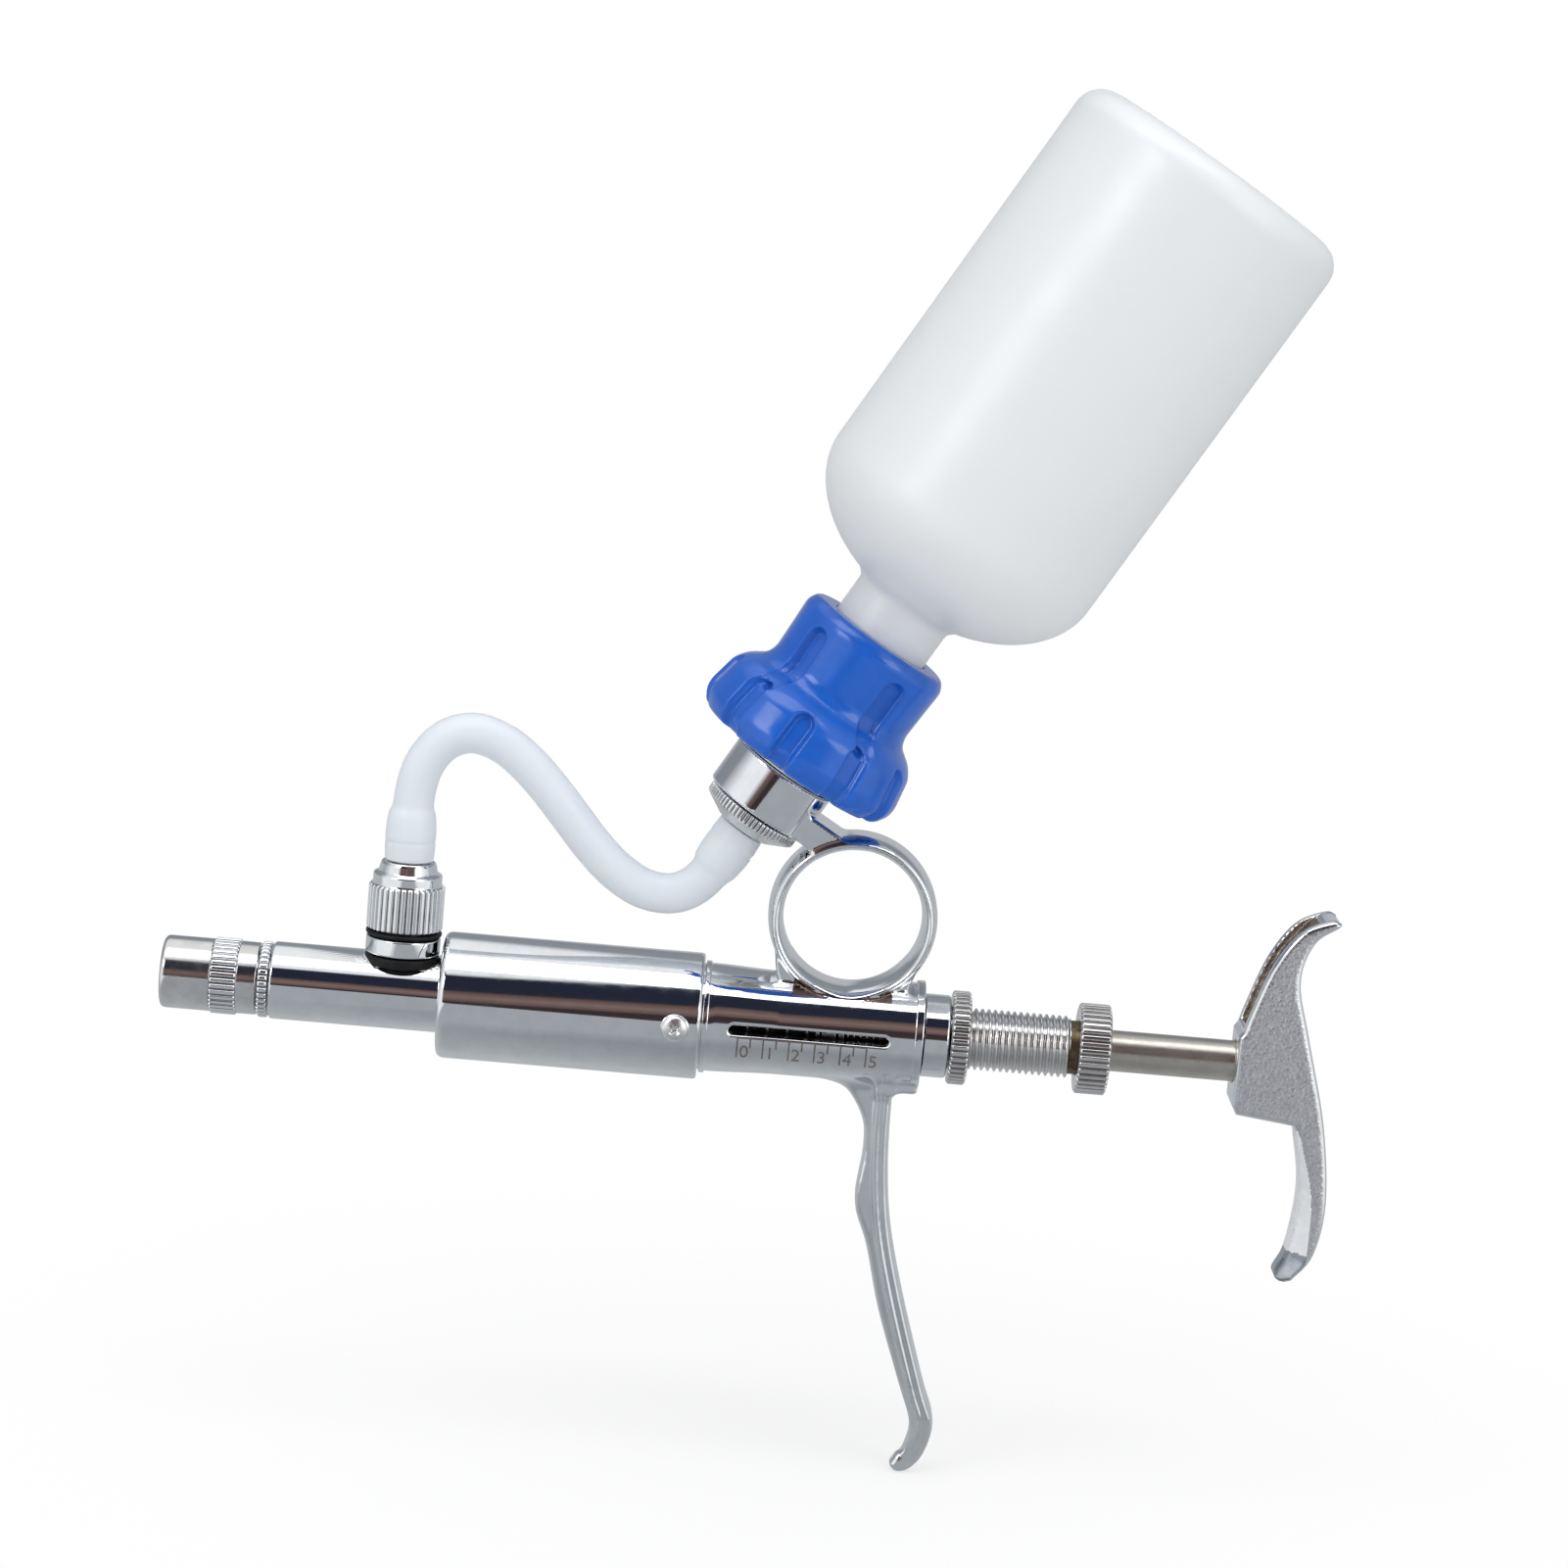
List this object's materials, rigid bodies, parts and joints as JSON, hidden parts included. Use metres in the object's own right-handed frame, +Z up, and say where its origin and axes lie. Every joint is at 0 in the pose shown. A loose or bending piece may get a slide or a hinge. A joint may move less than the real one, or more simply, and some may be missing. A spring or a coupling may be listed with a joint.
{
  "type": "automatic veterinary syringe",
  "caption": "Pistol-grip dosing syringe: a spring-returned plunger in a cased cylinder, fed by hose from an inverted bottle on top.",
  "frame": {"origin": "on the barrel's axis, below the middle of the finger ring, where the hand holds it", "axes": "+X along the barrel to the palm rest, +Z up through the finger ring, +Y away from the side with the dose window"},
  "size_m": [0.2286, 0.0582, 0.2712],
  "materials": {
    "chrome": "bright chrome plate on turned and cast brass",
    "chrome_casting": "chrome plate over an unpolished casting",
    "satin_nickel": "satin drawn rod",
    "spring_steel": "plain bright steel",
    "plated_brass": "thinly plated brass",
    "cylinder_glass": "clear glass",
    "black_rubber": "smooth black rubber",
    "pale_rubber": "white rubber",
    "hose_plastic": "translucent soft plastic",
    "blue_plastic": "moulded blue plastic",
    "bottle_plastic": "milky translucent blow-moulded plastic"
  },
  "bodies": {
    "root": {"main_body": "chrome", "casing": "chrome", "casing_screw": "spring_steel", "valve_head": "chrome", "needle_cone": "plated_brass", "outlet_spring": "spring_steel", "inlet_gasket": "black_rubber", "inlet_valve_body": "chrome", "inlet_spring": "spring_steel", "inlet_o_ring": "black_rubber", "inlet_barb": "plated_brass", "hose": "hose_plastic", "hose_fitting": "chrome", "socket_gasket": "pale_rubber", "cap": "blue_plastic", "cap_nut": "chrome", "bottle_seal": "pale_rubber", "front_seal": "black_rubber", "glass_cylinder": "cylinder_glass", "rear_seal": "black_rubber", "rod_guide": "chrome", "return_spring": "spring_steel", "rear_bush": "chrome"},
    "dose_stop": {"thrust_ring": "spring_steel"},
    "dose_screw": {"dose_sleeve": "chrome", "dose_knob": "chrome"},
    "plunger_carriage": {"spring_washer": "spring_steel"},
    "plunger": {"piston": "chrome", "piston_ring_front": "black_rubber", "piston_ring_rear": "black_rubber", "piston_rod": "satin_nickel", "stop_collar": "spring_steel", "palm_rest": "chrome_casting"},
    "lock_nut_unit": {"lock_nut": "chrome"},
    "lock_ring_unit": {"lock_ring": "chrome"},
    "needle_nut_unit": {"needle_nut": "chrome"},
    "inlet_nut_unit": {"inlet_nut": "chrome"},
    "outlet_ball_unit": {"outlet_ball": "spring_steel"},
    "inlet_ball_unit": {"inlet_ball": "spring_steel"},
    "bottle_unit": {"bottle": "bottle_plastic"}
  },
  "joints": [
    {"name": "dose_setting", "type": "slide", "parent": "root", "child": "dose_stop", "axis": [1, 0, 0], "range_m": [-0.0209, 0.0036], "deforming": ["return_spring"]},
    {"name": "dose_knob_turn", "type": "hinge", "parent": "dose_stop", "child": "dose_screw", "pos_m": [0, 0, 0], "axis": [1, 0, 0], "range_deg": [-6019.2, 1036.8]},
    {"name": "plunger_stroke", "type": "slide", "parent": "dose_stop", "child": "plunger_carriage", "axis": [-1, 0, 0], "range_m": [0, 0.0212], "stiffness_N_per_m": 300, "springref_m": -0.01, "deforming": ["return_spring"]},
    {"name": "plunger_swivel", "type": "hinge", "parent": "plunger_carriage", "child": "plunger", "pos_m": [0, 0, 0], "axis": [1, 0, 0], "continuous": true},
    {"name": "lock_nut_turn", "type": "hinge", "parent": "root", "child": "lock_nut_unit", "pos_m": [0.0226, 0, 0], "axis": [1, 0, 0], "range_deg": [0, 180]},
    {"name": "lock_ring_turn", "type": "hinge", "parent": "root", "child": "lock_ring_unit", "pos_m": [-0.1122, 0, 0], "axis": [1, 0, 0], "range_deg": [0, 180]},
    {"name": "needle_nut_turn", "type": "hinge", "parent": "root", "child": "needle_nut_unit", "pos_m": [-0.1228, 0, 0], "axis": [1, 0, 0], "range_deg": [0, 360]},
    {"name": "inlet_nut_turn", "type": "hinge", "parent": "root", "child": "inlet_nut_unit", "pos_m": [-0.0862, 0, 0.019], "axis": [0, 0, 1], "range_deg": [0, 360]},
    {"name": "bottle_turn", "type": "hinge", "parent": "root", "child": "bottle_unit", "pos_m": [-0.016, 0, 0.049], "axis": [0.509, 0, 0.8607], "range_deg": [0, 360]},
    {"name": "outlet_ball_lift", "type": "slide", "parent": "root", "child": "outlet_ball_unit", "axis": [-1, 0, 0], "range_m": [0, 0.0009], "stiffness_N_per_m": 60, "springref_m": -0.0015, "deforming": ["outlet_spring"]},
    {"name": "inlet_ball_lift", "type": "slide", "parent": "root", "child": "inlet_ball_unit", "axis": [0, 0, -1], "range_m": [0, 0.0009], "stiffness_N_per_m": 60, "springref_m": -0.0015, "deforming": ["inlet_spring"]}
  ],
  "couplings": [
    {"joint": "dose_knob_turn", "follows": "dose_setting", "rad_per_m": 5026.5}
  ]
}
